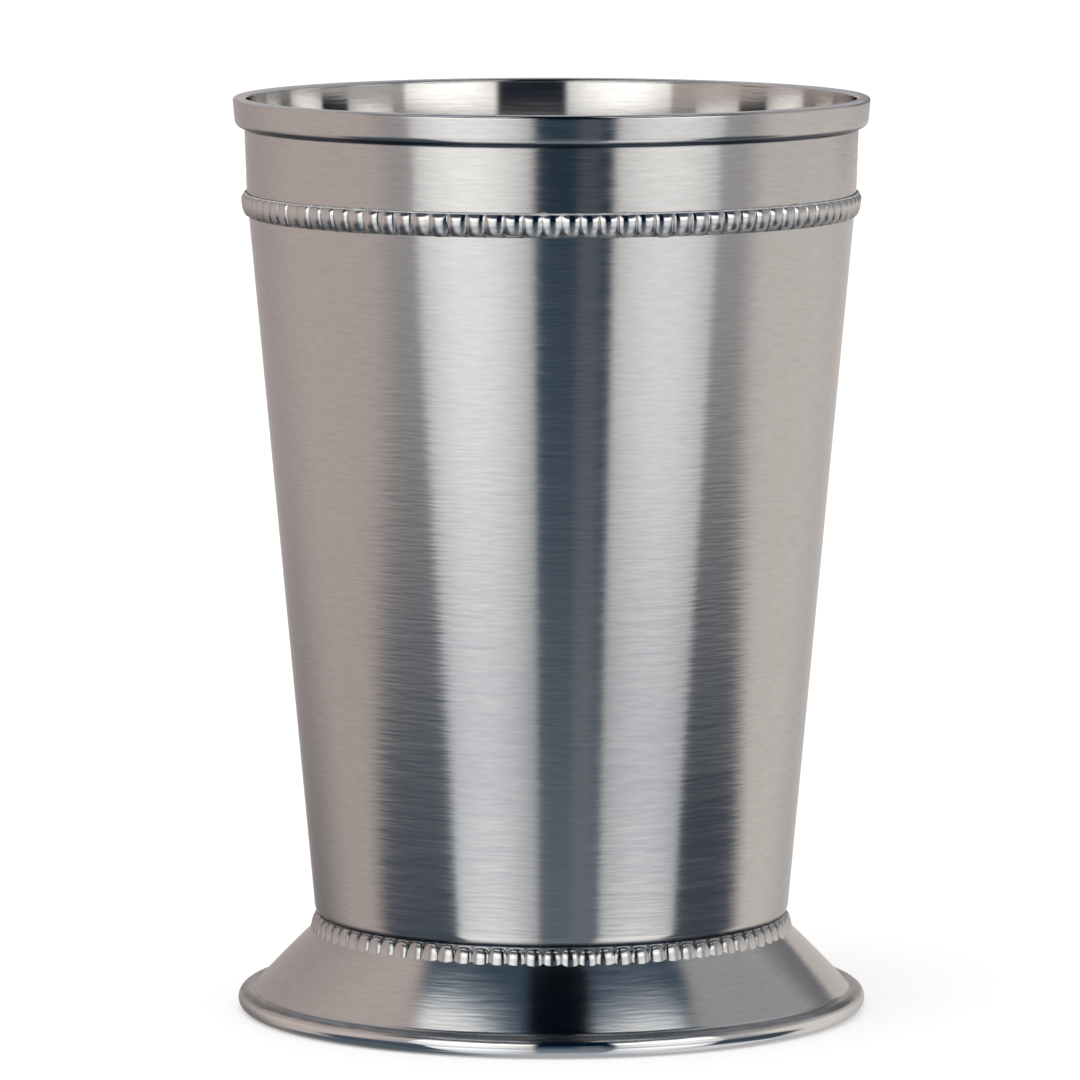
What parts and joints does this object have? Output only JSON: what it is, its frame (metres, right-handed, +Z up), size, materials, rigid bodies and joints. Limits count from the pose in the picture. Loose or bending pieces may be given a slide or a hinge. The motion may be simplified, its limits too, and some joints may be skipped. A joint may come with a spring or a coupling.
{
  "type": "julep cup",
  "caption": "Footed sheet metal julep cup with a tapered wall, a folded rim, beaded strips below the rim and above the flared foot, for serving iced drinks",
  "frame": {"origin": "centre of the foot ring, on the plane that the cup stands on", "axes": "Z points up along the cup's axis of revolution; X and Y are across the cup, and the picture looks along +Y"},
  "size_m": [0.0798, 0.0796, 0.115],
  "materials": {
    "brushed_sheet": "fine brushing round the cup over a polished surface",
    "polished_beads": "polished, dull in the valleys between the beads",
    "solder": "dull, slightly rough"
  },
  "bodies": {
    "root": {"cup_shell": "brushed_sheet", "foot_skirt": "brushed_sheet", "upper_bead_strip": "polished_beads", "lower_bead_strip": "polished_beads", "upper_bead_solder": "solder", "lower_bead_solder": "solder", "foot_solder_ring": "solder"}
  },
  "joints": []
}
